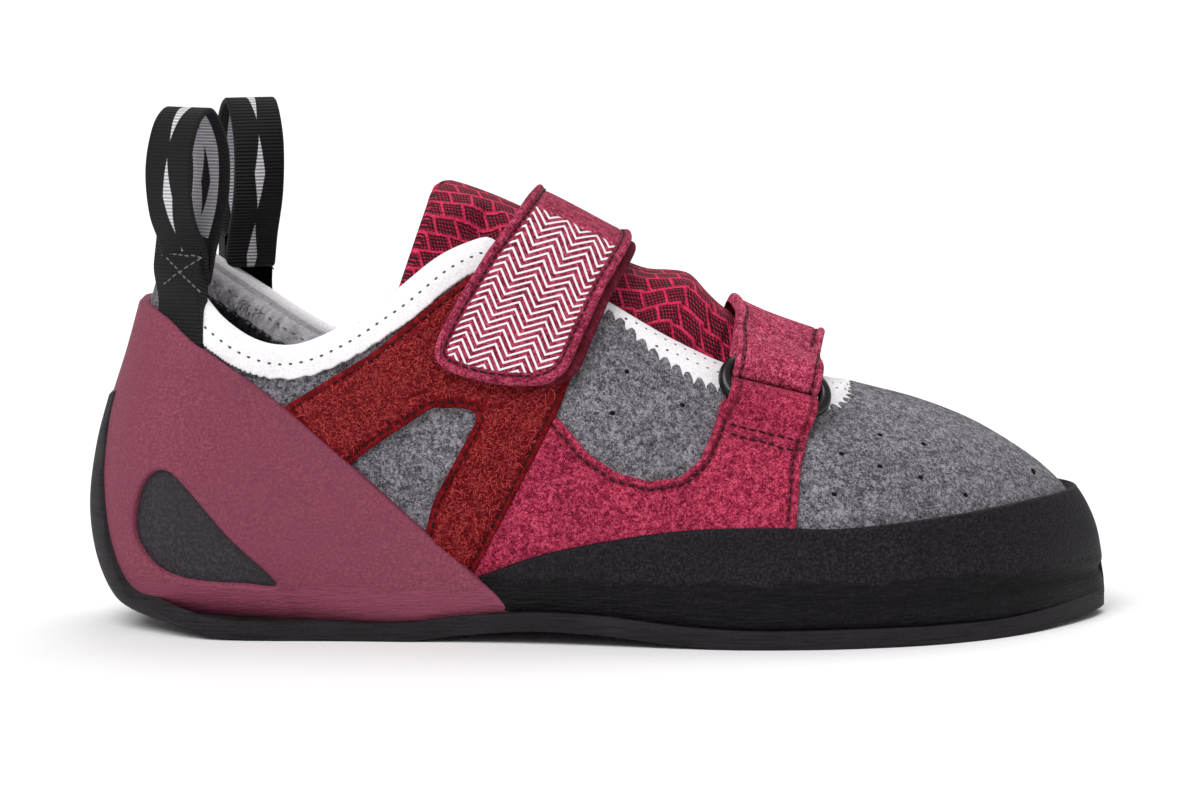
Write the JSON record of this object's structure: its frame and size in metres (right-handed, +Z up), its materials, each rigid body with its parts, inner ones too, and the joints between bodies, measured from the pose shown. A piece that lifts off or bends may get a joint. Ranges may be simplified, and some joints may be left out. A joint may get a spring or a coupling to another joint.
{
  "type": "climbing shoe",
  "caption": "Low-cut climbing shoe for the right foot: hollow suede upper, thin rubber sole and rands, padded tongue, hook-and-loop straps, a strap ring and heel pull loops.",
  "frame": {"origin": "centre of the bounding box in plan, at the underside of the sole", "axes": "+X to the toe, +Y to the inner (medial) side of the foot, +Z up"},
  "size_m": [0.2456, 0.0876, 0.1247],
  "materials": {
    "sole_rubber": "matte climbing rubber, sanded edge",
    "upper_suede": "grey suede with a short nap",
    "insole_board": "pale lining cloth over board",
    "tongue_mesh": "crimson air mesh over foam",
    "sling_rubber": "matte plum rubber",
    "rand_rubber": "matte black rubber",
    "loop_pile": "dark red brushed pile",
    "panel_microsuede": "cranberry microsuede",
    "binding_tape": "white soft tape",
    "strap_microsuede": "plum microsuede strap",
    "ring_plastic": "gloss black",
    "loop_webbing": "black ribbed webbing"
  },
  "bodies": {
    "root": {"outsole": "sole_rubber", "upper": "upper_suede", "insole": "insole_board", "tongue": "tongue_mesh", "heel_sling": "sling_rubber", "toe_rand": "rand_rubber", "loop_patch": "loop_pile", "side_panel": "panel_microsuede", "medial_panel": "panel_microsuede", "collar_binding": "binding_tape", "ankle_strap": "strap_microsuede", "forefoot_strap": "strap_microsuede", "ring": "ring_plastic", "pull_loop_lateral": "loop_webbing", "pull_loop_medial": "loop_webbing"}
  },
  "joints": []
}
